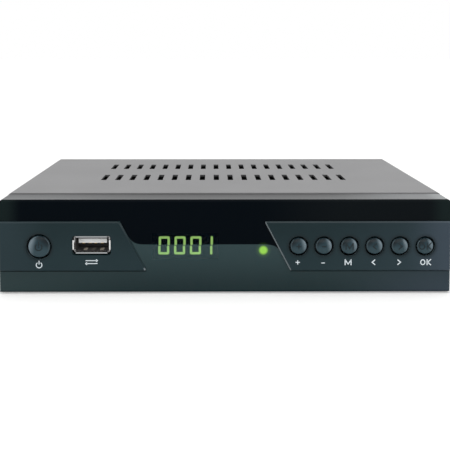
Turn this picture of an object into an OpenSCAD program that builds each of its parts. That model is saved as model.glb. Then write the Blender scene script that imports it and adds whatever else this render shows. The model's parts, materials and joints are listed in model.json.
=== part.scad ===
// Compact set-top receiver: folded steel case, glossy front with raised control plates,
// push buttons, lit digits, and a row of sockets at the back.
// Millimetres, +Z up, the front faces -Y, origin on the floor under the middle of the whole.

/* [Case] */
// Width of the front
body_w = 168.8; // [160:0.2:200]
// Depth from the control plates' faces to the back of the cover
body_d = 109; // [100:1:140]
// Height of the steel case, from the tray's underside to the cover's top
case_h = 32.75; // [31:0.25:42]
// Thickness of the folded steel
sheet_t = 0.8; // [0.6:0.1:1.2]
// Outside radius of the cover's long folds
fold_r = 1.4; // [1.3:0.1:3]
// Step from the fascia's side in to the cover's side
cover_inset = 0.2; // [0:0.1:1]
// Step from the fascia's top up to the cover's top
cover_rise = 0.35; // [0.1:0.05:0.5]
// Open joint between the fascia and the cover
cover_gap = 0.5; // [0.3:0.1:1]
// Height of the cover's rear lip
lip_h = 7; // [6:0.5:9]
// Height of the tray's side flanges
flange_h = 12; // [6:1:20]
// Height of the rubber feet
foot_h = 3; // [2.5:0.5:8]
// Radius of the rubber feet
foot_r = 5; // [3:0.5:8]
// Distance from the case's edges to the middle of each foot
foot_inset = 14; // [10:1:30]

/* [Vents] */
// Slots in each row of the cover
vent_count = 18; // [6:1:22]
// Distance from slot to slot
vent_pitch = 6.07; // [4:0.01:7]
// Width of a slot
vent_w = 2.3; // [1:0.05:3]
// Length of a slot, front to back
vent_l = 14; // [6:0.5:18]
// Distance from the cover's front edge to the middle of the front row
vent_front = 37; // [20:0.1:45]
// Distance between the two rows
vent_rows = 31.5; // [20:0.5:40]
// Slots in each row of the tray's floor
floor_vent_count = 12; // [4:1:16]

/* [Front] */
// Depth of the front, from the glossy face to the fascia's rear edge
fascia_d = 12.5; // [11:0.1:16]
// Thickness of the fascia's top and side walls
return_t = 2; // [1.8:0.1:2.4]
// Thickness of the fascia's lower wall
sill_t = 2.4; // [2:0.1:2.4]
// Thickness of the fascia's wall behind the lens
fascia_wall = 2; // [1.5:0.1:3]
// Thickness of the smoked lens
lens_t = 1.5; // [1.2:0.1:2.5]
// Rounding of the lens's outer edges
edge_r = 0.8; // [0.3:0.1:1.1]
// Rounding of the front's two upper corners
front_corner_r = 1.4; // [0.5:0.1:2]
// Reach of the fascia's tongue under the cover
tongue_reach = 4; // [2:0.5:8]
// How far the control plates stand out from the lens
plate_t = 1; // [0.6:0.1:1.6]
// Height of the plates' lower edge above the fascia's lower edge
plate_z = 8.26; // [6:0.02:10]
// Height of the plates
plate_h = 18.6; // [16:0.02:22]
// Run of the plates' slanted ends from top to bottom
plate_lean = 9.8; // [4:0.1:14]
// Length of the left plate's top edge
left_plate_w = 45.2; // [43:0.1:50]
// Length of the right plate's top edge
right_plate_w = 69.8; // [66:0.1:70]
// Chamfer round the plates' faces
plate_chamfer = 0.45; // [0.2:0.05:0.5]
// Rounding of the plates' corners
plate_corner_r = 0.5; // [0.5:0.1:2]
// Rounding of the left plate's upper corner at its slanted end
left_corner_r = 2; // [0.5:0.1:4]
// Step from the front's side in to the plates' outer ends
plate_inset = 0.3; // [0:0.1:1]
// Width of the shadow groove under the plates
groove_w = 0.4; // [0.2:0.1:1]
// Depth of the shadow groove
groove_d = 0.5; // [0.2:0.1:0.8]

/* [Buttons] */
// Radius of the power button
power_r = 4.1; // [3:0.05:4.5]
// Distance of the power button from the front's left side
power_x = 15.2; // [12:0.1:18]
// Height of the power button above the fascia's lower edge
power_z = 17.5; // [15:0.1:19]
// Radius of the menu buttons
key_r = 3.05; // [2.5:0.05:3.2]
// Distance from menu button to menu button
key_pitch = 9.44; // [9.3:0.01:9.9]
// Distance of the last menu button from the front's right side
key_edge = 9.83; // [8.5:0.01:10]
// Height of the menu buttons above the fascia's lower edge
key_z = 17.6; // [15:0.1:19]
// Radial gap round a button
button_gap = 0.7; // [0.3:0.05:0.7]
// Rise of a button's crown over its whole width
button_crown = 0.85; // [0.2:0.05:1.2]
// Rounding of a button's rim
button_edge_r = 0.6; // [0.3:0.1:1.2]
// How far a button's crown stands out of its plate
button_proud = 0.5; // [0.2:0.1:1.2]
// Travel of a button
button_travel = 0.5; // [0.25:0.05:1]
// Thickness of the collar that keeps a button in
collar_t = 0.8; // [0.5:0.1:1.5]
// Overlap of the collar behind its hole
collar_w = 0.75; // [0.4:0.05:0.9]

/* [Display] */
// Height of a digit
digit_h = 6.85; // [5:0.05:9]
// Width of a digit
digit_w = 4.15; // [3:0.01:5]
// Distance from digit to digit
digit_pitch = 5.94; // [5.2:0.02:6.2]
// Width of a lit stroke
digit_stroke = 0.85; // [0.6:0.05:1.4]
// Step between a digit's halves, which makes it lean
digit_lean = 0.2; // [0:0.05:0.5]
// Middle of the digits, counted from the middle of the front
display_x = -14; // [-16:0.1:-12]
// Height of the digits' middle above the fascia's lower edge
display_z = 17.33; // [15:0.01:20]
// Border of the display module round its digits
display_border = 2.4; // [1.5:0.1:3]
// Radius of the status lamp
led_r = 1.5; // [1:0.1:2]
// Distance of the status lamp from the right plate's upper corner
led_x = 0.33; // [0.2:0.01:1.7]
// Height of the status lamp above the fascia's lower edge
led_z = 15.9; // [14:0.01:20]
// Place of the remote-control receiver, counted from the middle of the front
ir_x = 6; // [5:0.1:7]
// Height of the remote-control receiver above the fascia's lower edge
ir_z = 21; // [20.5:0.1:23]

/* [Data socket] */
// Distance of the data socket from the front's left side
port_x = 34.7; // [32:0.1:36]
// Height of the data socket above the fascia's lower edge
port_z = 18.15; // [15:0.05:20]
// Inside width of the socket's shell
port_w = 12.5; // [12:0.1:13]
// Inside height of the socket's shell
port_h = 5.12; // [4.8:0.02:5.6]
// Thickness of the shell
port_wall = 0.5; // [0.25:0.05:0.5]
// How far the shell's side lips flare out
flare_w = 0.3; // [0.3:0.05:1]
// How far the shell's upper and lower lips flare out
flare_h = 0.2; // [0.2:0.05:1]
// Length of the flared lips
flare_l = 1.3; // [0.8:0.1:2]
// Thickness of the contact tongue
tongue_t = 1.6; // [1.2:0.1:1.8]
// Width of the contact tongue
tongue_w = 10.6; // [10:0.1:11.5]

/* [Boards] */
// Thickness of the circuit boards
board_t = 1.6; // [1:0.1:2]
// Height of the main board's standoffs
standoff_h = 4; // [2:0.5:6]
// Distance of the main board from the front's sides
board_side = 9; // [7:0.5:12]
// Room for the ribbon cable between the two boards
cable_space = 14; // [12:0.5:20]
// Side of a push switch
switch_w = 6; // [4.5:0.5:6]
// Height of a push switch
switch_h = 3.5; // [3:0.1:5]
// Radius of a switch's plunger
plunger_r = 1.7; // [1:0.1:2]
// Radius of the screws
screw_r = 1.25; // [1:0.05:1.5]
// Radius of the screw heads
screw_head_r = 2.4; // [2:0.1:2.8]
// Height of the screw heads
screw_head_h = 1.3; // [0.8:0.1:1.5]

/* [Rear sockets] */
// Reach of the aerial sockets past the back of the cover
rf_reach = 8; // [7:0.5:12]
// Distance between the aerial sockets
rf_pitch = 16; // [14:0.5:20]
// Bore radius of the aerial input
rf_in_r = 4.8; // [4.4:0.05:5]
// Outside radius of the aerial output
rf_out_r = 4.75; // [4.4:0.05:5]
// Wall of the aerial sockets
rf_wall = 0.9; // [0.5:0.1:1.2]
// Radius of the aerial output's pin
rf_pin_r = 1.2; // [0.8:0.1:1.3]
// Width of the tuner's screening can
tuner_w = 38; // [32:1:42]
// Depth of the tuner's screening can
tuner_d = 30; // [20:1:36]
// Height of the tuner's screening can
tuner_h = 14; // [13.5:0.5:16]
// Distance of the tuner from the front's right side
tuner_edge = 10; // [9.5:0.5:14]
// Gap between neighbouring sockets
socket_gap = 4; // [2:0.5:6]
// Width of the 21-way socket
av_w = 47; // [46:0.5:50]
// Height of the 21-way socket
av_h = 14.4; // [13:0.2:16]
// Width of the digital video socket
video_w = 15; // [13:0.5:17]
// Height of the digital video socket
video_h = 5.9; // [5:0.1:7]
// Outside radius of the audio socket's barrel
audio_r = 4.15; // [3.8:0.05:4.4]
// Reach of the audio barrel past the rear wall
audio_reach = 7; // [6:0.5:8]
// Bore radius of the power inlet
dc_bore_r = 2.9; // [2.5:0.1:3.2]
// Radius of the power inlet's pin
dc_pin_r = 1; // [0.8:0.05:1.3]

/* [Hidden] */
$fn = 48;
// Overshoot of a cut past the face that it opens
over = 1;
// Loose fit between folded sheets and mouldings
fit = 0.2;
// Clearance of the rear wall round a socket
socket_fit = 0.3;
// Gap between a button's collar and the fascia at rest
rest_gap = 0.1;
// Room left under a button at the end of its travel
press_room = 0.5;
// Gap between the boards' rear edges and the rear wall
board_gap = 0.6;
// Smallest rounding of a folded edge
least_r = 0.1;

// Places along Y
total_d = button_proud + body_d + rf_reach;
plate_y = button_proud - total_d / 2;
lens_y = plate_y + plate_t;
frame_y = lens_y + lens_t;
frame_back = frame_y + fascia_wall;
fascia_end = lens_y + fascia_d;
cover_y = fascia_end + cover_gap;
rear_y = plate_y + body_d;
wall_out = rear_y - sheet_t;
wall_in = wall_out - sheet_t;
switch_plate_t = 0.3;
collar_y = frame_back + rest_gap;
collar_end = collar_y + collar_t;
switch_y = collar_end + button_travel + press_room;
board_y = switch_y + switch_plate_t + switch_h;
board_back = board_y + board_t;
main_y = board_back + cable_space;
main_end = wall_in - board_gap;

// Places along Z
fascia_z = foot_h - sill_t;
cover_top = foot_h + case_h;
cover_under = cover_top - sheet_t;
fascia_top = cover_top - cover_rise;
fascia_h = fascia_top - fascia_z;
fascia_in_top = fascia_top - return_t;
floor_z = foot_h + sheet_t;
main_z = floor_z + standoff_h;
main_top = main_z + board_t;

// Widths
left_x = -body_w / 2;
right_x = body_w / 2;
cover_w = body_w - 2 * cover_inset;
tray_w = cover_w - 2 * (sheet_t + fit);
fascia_in_w = body_w - 2 * return_t;
main_w = body_w - 2 * board_side;
inner_fold_r = max(least_r, fold_r - sheet_t);
wall_corner_r = max(least_r, inner_fold_r - fit);

// Buttons: name, place along X, place along Z, radius
KEYS = ["plus", "minus", "menu", "left", "right", "ok"];
last_key = len(KEYS) - 1;
POWER = ["power", left_x + power_x, fascia_z + power_z, power_r];
MENU = [
    for (i = [0:last_key])
        [KEYS[i], right_x - key_edge - (last_key - i) * key_pitch, fascia_z + key_z, key_r]
];
BUTTONS = concat([POWER], MENU);

// Control plates: the line of their slanted ends
plate_low = fascia_z + plate_z;
plate_high = plate_low + plate_h;
lean_run = plate_lean / plate_h;
lean_len = sqrt(1 + lean_run * lean_run);
left_end_x = left_x + left_plate_w;
right_end_x = right_x - right_plate_w;
function slant_x(top_x, z) = top_x + (plate_high - z) * lean_run;

// Front board and its four screws
front_margin = 3.5;
front_w = fascia_in_w - 2 * front_margin;
front_h = fascia_in_top - foot_h - 2 * front_margin;
front_mid_z = (foot_h + fascia_in_top) / 2;
boss_inset = 4;
boss_r = 2.5;
FRONT_SCREWS = [
    for (sx = [-1, 1], sz = [-1, 1])
        [sx * (front_w / 2 - boss_inset), front_mid_z + sz * (front_h / 2 - boss_inset)]
];
front_screw_l = board_back - frame_back - over;

// Screws of the other joints
hole_slack = 0.05;
pass_slack = 0.35;
cover_screw_side = 24;
cover_screw_x = body_w / 2 - cover_screw_side;
cover_screw_z = cover_top - lip_h / 2;
cover_screw_end = 3;
fascia_screw_side = 30;
fascia_screw_x = body_w / 2 - fascia_screw_side;
fascia_screw_back = 4;
fascia_screw_y = fascia_end - fascia_screw_back;
head_room = 0.1;
counterbore = screw_head_h + head_room;
board_screw_edge = 5;
board_screw_x = main_w / 2 - board_screw_edge;
tuner_room = 8;
board_screw_ys = [main_y + board_screw_edge, main_end - tuner_d - tuner_room];

// Display module and lamps
DIGITS = [0, 0, 0, 1];
digit_split = 0.4;
digit_corner_r = 0.7;
segment_t = 0.2;
display_gap = 0.3;
display_y = frame_y + display_gap;
display_w = (len(DIGITS) - 1) * digit_pitch + digit_w + 2 * display_border;
display_h = digit_h + 2 * display_border;
lamp_x = right_end_x - led_x;
led_l = 5.3;
led_rim = 0.4;
led_rim_t = 1;
led_y = frame_y + display_gap;
ir_w = 7;
ir_h = 5.3;
ir_d = 5;
ir_dome_r = 2.4;

// Data socket
port_set = 0.3;
port_gap = 0.2;
port_drop = 0.6;
port_mid_x = left_x + port_x;
port_mid_z = fascia_z + port_z;
port_y = plate_y + port_set;
shell_y = port_y + flare_l;
port_hole_w = port_w + 2 * (port_wall + flare_w + port_gap);
port_hole_h = port_h + 2 * (port_wall + flare_h) + port_gap + port_drop;
port_hole_z = port_mid_z + (port_gap - port_drop) / 2;
port_hole_r = 1.2;
shell_corner_r = 0.6;
lip_short = 0.8;
tongue_low = 0;
tongue_set = 1.9;
tongue_y = shell_y + tongue_set;
port_base_t = 2;
contact_xs = [-3.5, -1, 1, 3.5];
contact_w = 1;
contact_t = 0.25;

// Rear sockets, placed side by side from the tuner on
rf_z = main_top + tuner_h / 2;
rf_flange_w = 0.5;
rf_flange_r = rf_in_r + rf_wall + rf_flange_w;
rf_flange_t = 0.8;
rf_flange_y = wall_out + rf_flange_t;
rf_end = rear_y + rf_reach;
rf_floor = 1.2;
rf_floor_y = main_end + rf_floor;
tuner_x = right_x - tuner_edge - tuner_w / 2;
rf_in_x = tuner_x + rf_pitch / 2;
rf_out_x = tuner_x - rf_pitch / 2;
can_t = 0.5;
av_d = 12;
av_x = tuner_x - tuner_w / 2 - socket_gap - av_w / 2;
av_z = main_top + av_h / 2;
socket_proud = 0.6;
av_end = wall_out + socket_proud;
video_d = 10;
video_x = av_x - av_w / 2 - socket_gap - video_w / 2;
video_z = main_top + video_h / 2;
video_end = wall_out + socket_proud;
video_wall = 0.4;
audio_body_w = 10;
audio_body_h = 12;
audio_x = video_x - video_w / 2 - socket_gap - audio_body_w / 2;
audio_up = 7;
audio_z = main_top + audio_up;
audio_flange_w = 0.85;
audio_flange_r = audio_r + audio_flange_w;
audio_flange_y = wall_out + socket_proud;
audio_end = wall_out + audio_reach;
audio_wall = 1.1;
audio_contact_r = 1.65;
dc_w = 9;
dc_h = 11;
dc_d = 12;
dc_x = audio_x - audio_body_w / 2 - socket_gap - dc_w / 2;
dc_up = 6.5;
dc_z = main_top + dc_up;
dc_wall = 1;
dc_collar_r = dc_bore_r + dc_wall;
dc_bore_d = 9.5;
socket_back = wall_in - socket_fit;

// Parts on the main board
proc_x = -8;
proc_front = 6;
proc_y = (main_y + main_end) / 2 - proc_front;
proc_w = 17;
proc_t = 1.6;
sink_w = 24;
sink_base = 2;
sink_h = 9;
fin_count = 7;
fin_t = 1.2;
memory_w = 12;
memory_d = 9;
memory_t = 1.2;
memory_x = proc_x + sink_w / 2 + memory_w;
cap_count = 4;
cap_r = 4;
cap_h = 11.5;
cap_pitch = 10;
cap_row_gap = 14;
cap_y = main_end - av_d - cap_row_gap;
coil_count = 3;
coil_w = 7;
coil_h = 4.2;
coil_y = cap_y - cap_row_gap;
screw_room = 3.6;
cap_x = screw_head_r + screw_room + coil_w / 2 - board_screw_x;
crystal_w = 11;
crystal_d = 4.6;
crystal_h = 3.6;
crystal_gap = 3;
crystal_x = proc_x - sink_w / 2 - crystal_w / 2 - crystal_gap;

// Ribbon cable between the two boards
ribbon_x = 30;
ribbon_w = 20;
ribbon_t = 0.8;
ribbon_bend = 3;
ribbon_drop = 3.5;
header_w = 24;
header_d = 6;
header_h = 8;
header_edge = 6;
header_y = main_y + header_edge;
ribbon_z = main_top + header_h + ribbon_drop + ribbon_bend;
ribbon_y = board_back + header_h;

// Helpers

// Rod along +Y from y0 to y1
module rod_y(r, y0, y1) {
    translate([0, y0, 0])
        rotate([-90, 0, 0])
            cylinder(r = r, h = y1 - y0);
}

// Outline drawn in X and Z, carried along +Y from y0 to y1
module along_y(y0, y1) {
    translate([0, y1, 0])
        rotate([90, 0, 0])
            linear_extrude(y1 - y0)
                children();
}

// Outline drawn in Y and Z, carried along X over the width w, centred
module along_x(w) {
    translate([-w / 2, 0, 0])
        rotate([90, 0, 90])
            linear_extrude(w)
                children();
}

// Rectangle with four round corners, centred
module round_rect(w, h, r) {
    square([w - 2 * r, h], center = true);
    square([w, h - 2 * r], center = true);
    for (sx = [-1, 1], sy = [-1, 1])
        translate([sx * (w / 2 - r), sy * (h / 2 - r)])
            circle(r);
}

// Rectangle standing on the X axis, with its two upper corners round
module arch(w, h, r) {
    translate([-w / 2, 0])
        square([w, h - r]);
    translate([r - w / 2, 0])
        square([w - 2 * r, h]);
    for (sx = [-1, 1])
        translate([sx * (w / 2 - r), h - r])
            intersection() {
                circle(r);
                translate([-r, 0])
                    square([2 * r, r]);
            }
}

// Box given by its middle along X, its low Y and Z, and its size
module box(x, y, z, size) {
    translate([x - size[0] / 2, y, z])
        cube(size);
}

// Screw with its head standing on z = 0 and its shank below
module screw(shank_l) {
    drive_w = 0.5;
    drive_l = 1.3 * screw_head_r;
    difference() {
        union() {
            translate([0, 0, -shank_l])
                cylinder(r = screw_r, h = shank_l + screw_head_h / 2);
            cylinder(r = screw_head_r, h = screw_head_h);
        }
        for (a = [0, 90])
            translate([0, 0, screw_head_h])
                rotate(a)
                    cube([drive_l, drive_w, screw_head_h], center = true);
    }
}

// Holes for all the buttons, from y0 to y1
module button_holes(y0, y1) {
    for (b = BUTTONS)
        translate([b[1], 0, b[2]])
            rod_y(b[3] + button_gap, y0, y1);
}

// Hole for the data socket, from y0 to y1
module port_hole(y0, y1) {
    translate([port_mid_x, 0, port_hole_z])
        along_y(y0, y1)
            round_rect(port_hole_w, port_hole_h, port_hole_r);
}

// Row of vent slots along X
module vent_row(count) {
    for (i = [0:count - 1])
        translate([(i - (count - 1) / 2) * vent_pitch, 0, 0])
            cube([vent_w, vent_l, sheet_t + over], center = true);
}

// Plate with chamfered edges, lying on the lens: each corner's place along X and Z, and its rounding
module chamfered_plate(corners) {
    hull()
        for (c = corners)
            translate([c[0], lens_y, c[1]])
                rotate([90, 0, 0]) {
                    cylinder(r = c[2], h = plate_t - plate_chamfer, $fn = 32);
                    cylinder(r = c[2] - plate_chamfer, h = plate_t, $fn = 32);
                }
}

// Outline of the 21-way plug's skirt, one lower corner cut off
module skirt(w, h) {
    cut = h / 2;
    polygon([
        [-w / 2, h / 2],
        [w / 2, h / 2],
        [w / 2, -h / 2],
        [cut - w / 2, -h / 2],
        [-w / 2, cut / 2 - h / 2]
    ]);
}

// Outline of the digital video socket, narrower at the bottom
module video_outline(inset) {
    w = video_w / 2 - inset;
    h = video_h / 2 - inset;
    step = video_h / 4;
    polygon([[-w, h], [w, h], [w, step - h], [w - step, -h], [step - w, -h], [-w, step - h]]);
}

// Places of the 21-way socket's slots, along X and Z
av_rim_x = 2.3;
av_rim_z = 1.5;
av_skirt_w = av_w - 2 * av_rim_x;
av_skirt_h = av_h - 2 * av_rim_z;
av_groove = 1.3;
av_groove_d = 8;
av_slot = [1.2, 3.2];
av_slot_pitch = 3.6;
av_row_pitch = 4.35;
av_per_row = 10;
av_stagger = 0.9;
AV_SLOTS = [
    for (row = [-1, 1], i = [0:av_per_row - 1])
        [(i - (av_per_row - 1) / 2) * av_slot_pitch + row * av_stagger, row * av_row_pitch / 2]
];

// Case

module base_tray() {
    color("#8d9295")
        difference() {
            union() {
                box(0, frame_back + fit, foot_h, [fascia_in_w - 2 * fit, cover_y - frame_back, sheet_t]);
                box(0, cover_y, foot_h, [tray_w, wall_out - cover_y, sheet_t]);
                for (s = [-1, 1])
                    box(s * (tray_w - sheet_t) / 2, cover_y, foot_h, [sheet_t, wall_out - cover_y, flange_h]);
                along_y(wall_in, wall_out)
                    translate([0, foot_h])
                        arch(tray_w, cover_under - fit - foot_h, wall_corner_r);
            }
            for (s = [-1, 1])
                translate([0, (main_y + main_end) / 2 + s * vent_l, floor_z - sheet_t / 2])
                    vent_row(floor_vent_count);
            for (s = [-1, 1])
                translate([s * fascia_screw_x, fascia_screw_y, foot_h - over])
                    cylinder(r = screw_r + hole_slack, h = sheet_t + 2 * over);
            for (s = [-1, 0, 1])
                translate([s * cover_screw_x, 0, cover_screw_z])
                    rod_y(screw_r + hole_slack, wall_in - over, wall_out + over);
            for (x = [rf_in_x, rf_out_x])
                translate([x, 0, rf_z])
                    rod_y(rf_flange_r + socket_fit, wall_in - over, wall_out + over);
            translate([av_x, 0, av_z])
                along_y(wall_in - over, wall_out + over)
                    square([av_w + 2 * socket_fit, av_h + 2 * socket_fit], center = true);
            translate([video_x, 0, video_z])
                along_y(wall_in - over, wall_out + over)
                    video_outline(-socket_fit);
            translate([audio_x, 0, audio_z])
                rod_y(audio_flange_r + socket_fit, wall_in - over, wall_out + over);
            translate([dc_x, 0, dc_z])
                rod_y(dc_collar_r + socket_fit, wall_in - over, wall_out + over);
        }
}

module top_cover() {
    color("#75787a")
        difference() {
            along_y(cover_y, rear_y)
                translate([0, foot_h])
                    arch(cover_w, case_h, fold_r);
            along_y(cover_y - over, wall_out)
                translate([0, foot_h - over])
                    arch(cover_w - 2 * sheet_t, case_h - sheet_t + over, inner_fold_r);
            box(0, wall_out - over, foot_h - over,
                [cover_w - 2 * sheet_t, sheet_t + 2 * over, case_h - lip_h + over]);
            for (row = [0, 1])
                translate([0, cover_y + vent_front + row * vent_rows, cover_top - sheet_t / 2])
                    vent_row(vent_count);
            for (s = [-1, 0, 1])
                translate([s * cover_screw_x, 0, cover_screw_z])
                    rod_y(screw_r + pass_slack, wall_out - over, rear_y + over);
        }
}

module rubber_feet() {
    foot_chamfer = 0.6;
    color("#1c1c1c")
        for (sx = [-1, 1], y = [cover_y + foot_inset, rear_y - foot_inset])
            translate([sx * (body_w / 2 - foot_inset), y, 0]) {
                cylinder(r1 = foot_r - foot_chamfer, r2 = foot_r, h = foot_chamfer);
                translate([0, 0, foot_chamfer])
                    cylinder(r = foot_r, h = foot_h - foot_chamfer);
            }
}

module cover_screws() {
    color("#3a3c3e")
        for (s = [-1, 0, 1])
            translate([s * cover_screw_x, rear_y, cover_screw_z])
                rotate([-90, 0, 0])
                    screw(2 * sheet_t + cover_screw_end);
}

module fascia_screws() {
    color("#3a3c3e")
        for (s = [-1, 1])
            translate([s * fascia_screw_x, fascia_screw_y, fascia_z + counterbore])
                rotate([180, 0, 0])
                    screw(sill_t - counterbore + sheet_t + over);
}

// Front

// Outline of the whole front with its soft upper corners, from y0 to y1
module front_outline(y0, y1) {
    along_y(y0, y1)
        translate([0, fascia_z])
            arch(body_w, fascia_h, front_corner_r);
}

module front_fascia() {
    color("#23272a")
        difference() {
            union() {
                difference() {
                    front_outline(frame_y, fascia_end);
                    box(0, frame_back, foot_h, [fascia_in_w, fascia_d, fascia_in_top - foot_h]);
                }
                box(0, fascia_end - over, fascia_in_top,
                    [tray_w - 8 * return_t, over + cover_gap + tongue_reach,
                     cover_under - fit - fascia_in_top]);
                for (p = FRONT_SCREWS)
                    translate([p[0], 0, p[1]])
                        rod_y(boss_r, frame_back - fascia_wall / 2, board_y);
            }
            button_holes(frame_y - over, frame_back + over);
            port_hole(frame_y - over, frame_back + over);
            translate([display_x, 0, fascia_z + display_z])
                along_y(frame_y - over, frame_back + over)
                    square([display_w + 2 * fit, display_h + 2 * fit], center = true);
            translate([lamp_x, 0, fascia_z + led_z])
                rod_y(led_r + fit, frame_y - over, frame_back + over);
            translate([ir_x, 0, fascia_z + ir_z])
                rod_y(ir_dome_r + fit, frame_y - over, frame_back + over);
            for (p = FRONT_SCREWS)
                translate([p[0], 0, p[1]])
                    rod_y(screw_r + hole_slack, frame_back, board_y + over);
            for (s = [-1, 1])
                translate([s * fascia_screw_x, fascia_screw_y, fascia_z - over]) {
                    cylinder(r = screw_r + pass_slack, h = sill_t + 2 * over);
                    cylinder(r = screw_head_r + pass_slack, h = counterbore + over);
                }
        }
}

module face_lens() {
    color("#0d1317")
        difference() {
            intersection() {
                translate([0, frame_y, fascia_z])
                    linear_extrude(fascia_h)
                        rotate(180)
                            arch(body_w, lens_t, edge_r);
                translate([0, frame_y, fascia_z + fascia_h / 2])
                    along_x(body_w)
                        rotate(90)
                            arch(fascia_h, lens_t, edge_r);
                front_outline(lens_y - over, frame_y + over);
            }
            button_holes(lens_y - over, frame_y + over);
            port_hole(lens_y - over, frame_y + over);
            left_groove_w = slant_x(left_end_x, plate_low) - left_x;
            translate([left_x - over, lens_y - over, plate_low - groove_w])
                cube([left_groove_w + over, over + groove_d, groove_w]);
            right_groove_x = slant_x(right_end_x, plate_low);
            translate([right_groove_x, lens_y - over, plate_low - groove_w])
                cube([right_x - right_groove_x + over, over + groove_d, groove_w]);
        }
}

module left_control_plate() {
    r = plate_corner_r;
    top_r = left_corner_r;
    outer_x = left_x + plate_inset;
    color("#28353a")
        difference() {
            chamfered_plate([
                [outer_x + r, plate_low + r, r],
                [outer_x + r, plate_high - r, r],
                [slant_x(left_end_x, plate_high - top_r) - top_r * lean_len, plate_high - top_r, top_r],
                [slant_x(left_end_x, plate_low + r) - r * lean_len, plate_low + r, r]
            ]);
            button_holes(plate_y - over, lens_y + over);
            port_hole(plate_y - over, lens_y + over);
        }
}

module right_control_plate() {
    r = plate_corner_r;
    outer_x = right_x - plate_inset;
    color("#28353a")
        difference() {
            chamfered_plate([
                [outer_x - r, plate_low + r, r],
                [outer_x - r, plate_high - r, r],
                [slant_x(right_end_x, plate_high - r) + r * lean_len, plate_high - r, r],
                [slant_x(right_end_x, plate_low + r) + r * lean_len, plate_low + r, r]
            ]);
            button_holes(plate_y - over, lens_y + over);
        }
}

// Half of a cap's section: a shallow crown that rolls over into the side, apex at the origin
module cap_section(r, length) {
    crown_r = (r * r + button_crown * button_crown) / (2 * button_crown);
    rim_x = r - button_edge_r;
    rim_z = sqrt(pow(crown_r - button_edge_r, 2) - rim_x * rim_x) - crown_r;
    intersection() {
        translate([0, -crown_r])
            circle(crown_r, $fn = 128);
        translate([0, -length])
            square([rim_x * crown_r / (crown_r - button_edge_r), length]);
    }
    translate([rim_x, rim_z])
        circle(button_edge_r);
    translate([0, -length])
        square([r, length + rim_z]);
}

// Cap with a crowned face and a collar behind the fascia
module button_cap(b) {
    crown_y = plate_y - button_proud;
    color("#2f3a3f")
        translate([b[1], 0, b[2]]) {
            translate([0, crown_y, 0])
                rotate([90, 0, 0])
                    rotate_extrude()
                        cap_section(b[3], collar_end - crown_y);
            rod_y(b[3] + button_gap + collar_w, collar_y, collar_end);
        }
}

// Plunger between a cap and the inside of its switch
module switch_plunger(b) {
    plunger_in = 1.2;
    color("#111111")
        translate([b[1], 0, b[2]])
            rod_y(plunger_r, collar_end, switch_y + plunger_in);
}

// Front board and what it carries

module front_board() {
    color("#2f5d3a")
        difference() {
            box(0, board_y, front_mid_z - front_h / 2, [front_w, board_t, front_h]);
            for (p = FRONT_SCREWS)
                translate([p[0], 0, p[1]])
                    rod_y(screw_r + pass_slack, board_y - over, board_back + over);
        }
}

module front_board_screws() {
    color("#b8bcc0")
        for (p = FRONT_SCREWS)
            translate([p[0], board_back, p[1]])
                rotate([-90, 0, 0])
                    screw(front_screw_l);
}

module switch_bodies() {
    well_d = switch_h - 1;
    color("#1a1a1a")
        for (b = BUTTONS)
            translate([b[1], 0, b[2]])
                difference() {
                    box(0, board_y - switch_h, -switch_w / 2, [switch_w, switch_h, switch_w]);
                    rod_y(plunger_r + fit, board_y - switch_h - over, board_y - switch_h + well_d);
                }
}

module switch_covers() {
    color("#c4c8cc")
        for (b = BUTTONS)
            translate([b[1], 0, b[2]])
                difference() {
                    box(0, switch_y, -switch_w / 2, [switch_w, switch_plate_t, switch_w]);
                    rod_y(plunger_r + fit, switch_y - over, switch_y + switch_plate_t + over);
                }
}

module display_module() {
    color("#15181a")
        box(display_x, display_y, fascia_z + display_z - display_h / 2,
            [display_w, board_y - display_y, display_h]);
}

// One half of a digit, in X and Z, above or below its middle
module digit_half(d, half) {
    half_h = (digit_h - digit_split) / 2;
    translate([half * digit_lean / 2, 0])
        if (d == 0)
            intersection() {
                difference() {
                    round_rect(digit_w, digit_h, digit_corner_r);
                    square([digit_w - 2 * digit_stroke, digit_h - 2 * digit_stroke], center = true);
                }
                translate([0, half * (digit_split + half_h) / 2])
                    square([digit_w + over, half_h], center = true);
                translate([0, half * (digit_split + digit_h) / 2])
                    square([digit_w + over, digit_h], center = true);
            }
        else
            translate([0, half * (digit_split + half_h) / 2])
                round_rect(digit_stroke, half_h, digit_stroke / 2 - least_r);
}

module display_segments() {
    color("#9cc65a")
        for (i = [0:len(DIGITS) - 1], half = [-1, 1])
            translate([display_x + (i - (len(DIGITS) - 1) / 2) * digit_pitch, 0, fascia_z + display_z])
                along_y(display_y - segment_t, display_y)
                    digit_half(DIGITS[i], half);
}

module status_led() {
    color("#8fd24a")
        translate([lamp_x, 0, fascia_z + led_z]) {
            translate([0, led_y + led_r, 0])
                sphere(led_r);
            rod_y(led_r, led_y + led_r, led_y + led_l);
            rod_y(led_r + led_rim, led_y + led_l - led_rim_t, led_y + led_l);
        }
}

module led_spacer() {
    color("#e8e8e4")
        translate([lamp_x, 0, fascia_z + led_z])
            rod_y(led_r + led_rim, led_y + led_l, board_y);
}

module ir_receiver() {
    color("#120f14")
        translate([ir_x, 0, fascia_z + ir_z]) {
            box(0, board_y - ir_d, -ir_h / 2, [ir_w, ir_d, ir_h]);
            translate([0, board_y - ir_d, 0])
                sphere(ir_dome_r);
        }
}

// Section of a flared lip of the data socket, from the inner half size across the socket
module port_lip(across, flare) {
    polygon([
        [port_y, across + flare],
        [port_y, across + flare + port_wall],
        [shell_y, across + port_wall],
        [shell_y + flare_l, across + port_wall],
        [shell_y + flare_l, across],
        [shell_y, across]
    ]);
}

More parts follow.
